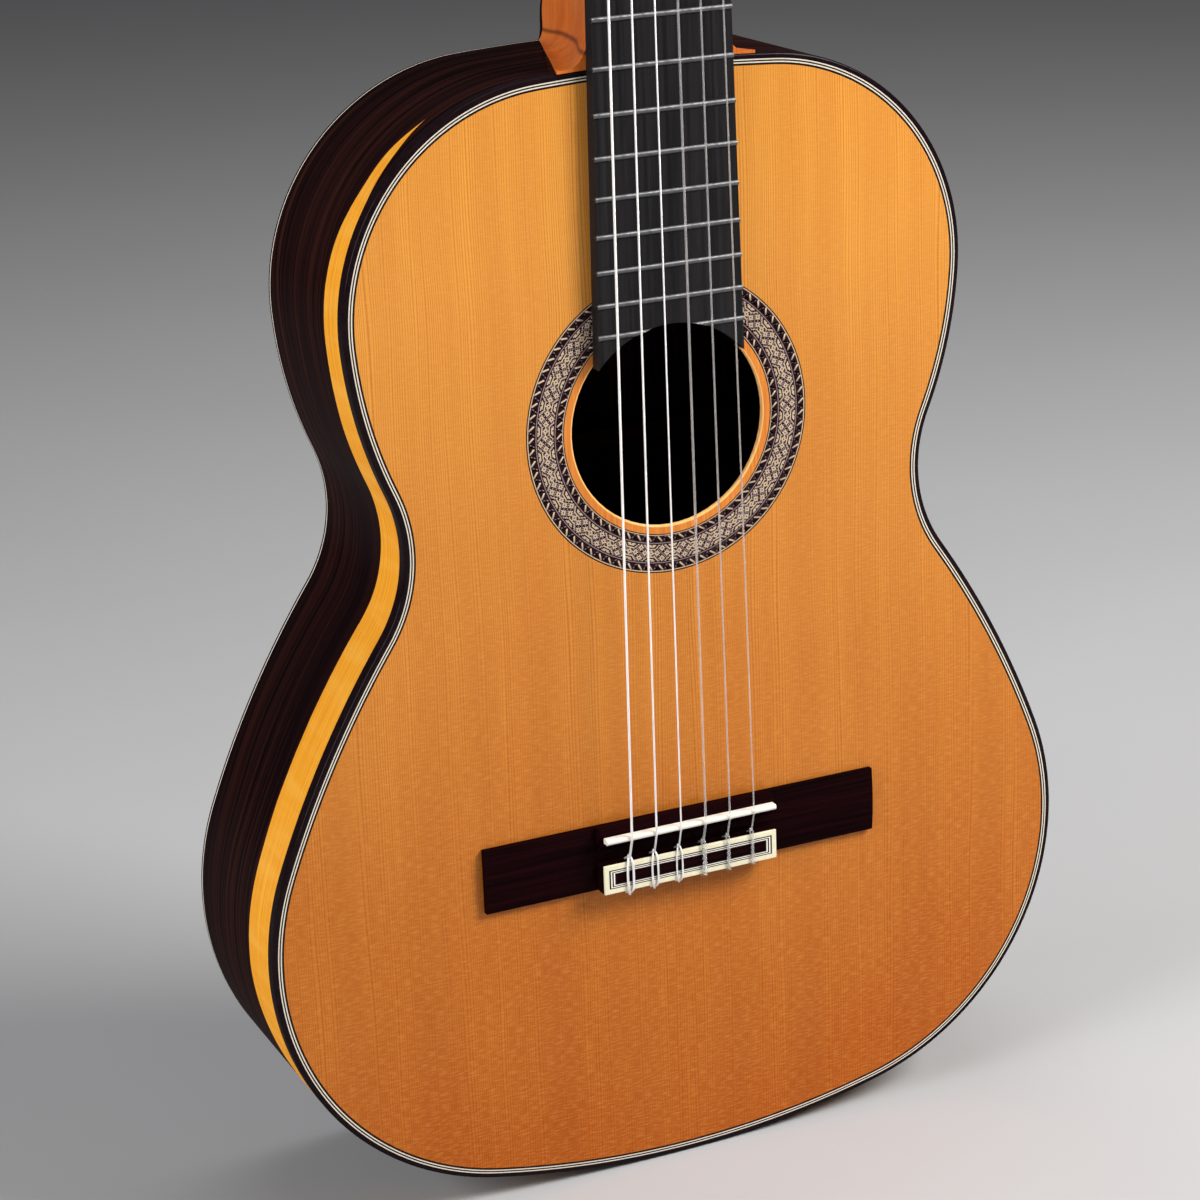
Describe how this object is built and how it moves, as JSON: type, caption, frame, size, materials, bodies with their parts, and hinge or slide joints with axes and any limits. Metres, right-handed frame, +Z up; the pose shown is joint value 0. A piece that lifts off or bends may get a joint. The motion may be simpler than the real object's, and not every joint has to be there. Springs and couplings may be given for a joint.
{
  "type": "classical guitar",
  "caption": "Classical guitar with a domed rosewood body, cedar top, mosaic rosette, tied bridge, slotted headstock and geared tuning machines.",
  "frame": {"origin": "on the neck centre line just below the headstock, where the yoke of a hanger carries the neck", "axes": "+Z up the neck towards the headstock, +Y from the soundboard towards the back, +X to the treble side"},
  "size_m": [0.3758, 0.1111, 0.9995],
  "materials": {
    "top_wood": "polished",
    "mosaic": "polished",
    "purfling": "polished",
    "rosewood": "polished",
    "inner_wood": "plain",
    "neck_wood": "polished",
    "ebony": "oiled",
    "nickel": "polished",
    "bone": "polished",
    "bridge_wood": "polished",
    "inlay": "polished",
    "bass_string": "wound",
    "treble_string": "clear",
    "brass": "polished",
    "roller": "plain",
    "button": "pearly"
  },
  "bodies": {
    "root": {"soundboard": "top_wood", "rosette": "mosaic", "top_purfling": "purfling", "top_binding": "rosewood", "back_bass": "rosewood", "back_treble": "rosewood", "back_strip": "purfling", "back_purfling": "purfling", "back_binding": "rosewood", "side_bass": "rosewood", "side_treble": "rosewood", "tail_strip": "rosewood", "tail_block": "inner_wood", "linings": "inner_wood", "fan_braces": "inner_wood", "harmonic_bars": "inner_wood", "back_braces": "inner_wood", "neck": "neck_wood", "heel": "neck_wood", "heel_cap": "rosewood", "head_veneer": "rosewood", "fingerboard": "ebony", "frets": "nickel", "nut": "bone", "bridge": "bridge_wood", "saddle": "bone", "tie_block_inlay": "inlay", "string_6": "bass_string", "string_5": "bass_string", "string_4": "bass_string", "string_3": "treble_string", "string_2": "treble_string", "string_1": "treble_string", "plate_bass": "brass", "plate_treble": "brass", "plate_screws": "brass"},
    "roller_1": {"roller_1": "roller", "gear_1": "brass"},
    "knob_1": {"worm_1": "brass", "button_1": "button"},
    "roller_2": {"roller_2": "roller", "gear_2": "brass"},
    "knob_2": {"worm_2": "brass", "button_2": "button"},
    "roller_3": {"roller_3": "roller", "gear_3": "brass"},
    "knob_3": {"worm_3": "brass", "button_3": "button"},
    "roller_4": {"roller_4": "roller", "gear_4": "brass"},
    "knob_4": {"worm_4": "brass", "button_4": "button"},
    "roller_5": {"roller_5": "roller", "gear_5": "brass"},
    "knob_5": {"worm_5": "brass", "button_5": "button"},
    "roller_6": {"roller_6": "roller", "gear_6": "brass"},
    "knob_6": {"worm_6": "brass", "button_6": "button"}
  },
  "joints": [
    {"name": "knob_1_turn", "type": "hinge", "parent": "root", "child": "knob_1", "pos_m": [0.041, 0.01656, 0.05208], "axis": [0, 0.9659, -0.2588], "continuous": true},
    {"name": "roller_1_turn", "type": "hinge", "parent": "root", "child": "roller_1", "pos_m": [0.041, 0.01433, 0.04378], "axis": [1, 0, 0], "continuous": true},
    {"name": "knob_2_turn", "type": "hinge", "parent": "root", "child": "knob_2", "pos_m": [0.041, 0.02562, 0.08589], "axis": [0, 0.9659, -0.2588], "continuous": true},
    {"name": "roller_2_turn", "type": "hinge", "parent": "root", "child": "roller_2", "pos_m": [0.041, 0.02339, 0.07758], "axis": [1, 0, 0], "continuous": true},
    {"name": "knob_3_turn", "type": "hinge", "parent": "root", "child": "knob_3", "pos_m": [0.041, 0.03468, 0.1197], "axis": [0, 0.9659, -0.2588], "continuous": true},
    {"name": "roller_3_turn", "type": "hinge", "parent": "root", "child": "roller_3", "pos_m": [0.041, 0.03245, 0.11139], "axis": [1, 0, 0], "continuous": true},
    {"name": "knob_4_turn", "type": "hinge", "parent": "root", "child": "knob_4", "pos_m": [-0.041, 0.03468, 0.1197], "axis": [0, 0.9659, -0.2588], "continuous": true},
    {"name": "roller_4_turn", "type": "hinge", "parent": "root", "child": "roller_4", "pos_m": [-0.041, 0.03245, 0.11139], "axis": [1, 0, 0], "continuous": true},
    {"name": "knob_5_turn", "type": "hinge", "parent": "root", "child": "knob_5", "pos_m": [-0.041, 0.02562, 0.08589], "axis": [0, 0.9659, -0.2588], "continuous": true},
    {"name": "roller_5_turn", "type": "hinge", "parent": "root", "child": "roller_5", "pos_m": [-0.041, 0.02339, 0.07758], "axis": [1, 0, 0], "continuous": true},
    {"name": "knob_6_turn", "type": "hinge", "parent": "root", "child": "knob_6", "pos_m": [-0.041, 0.01656, 0.05208], "axis": [0, 0.9659, -0.2588], "continuous": true},
    {"name": "roller_6_turn", "type": "hinge", "parent": "root", "child": "roller_6", "pos_m": [-0.041, 0.01433, 0.04378], "axis": [1, 0, 0], "continuous": true}
  ],
  "couplings": [
    {"joint": "roller_1_turn", "follows": "knob_1_turn", "ratio": 0.066667},
    {"joint": "roller_2_turn", "follows": "knob_2_turn", "ratio": 0.066667},
    {"joint": "roller_3_turn", "follows": "knob_3_turn", "ratio": 0.066667},
    {"joint": "roller_4_turn", "follows": "knob_4_turn", "ratio": 0.066667},
    {"joint": "roller_5_turn", "follows": "knob_5_turn", "ratio": 0.066667},
    {"joint": "roller_6_turn", "follows": "knob_6_turn", "ratio": 0.066667}
  ]
}
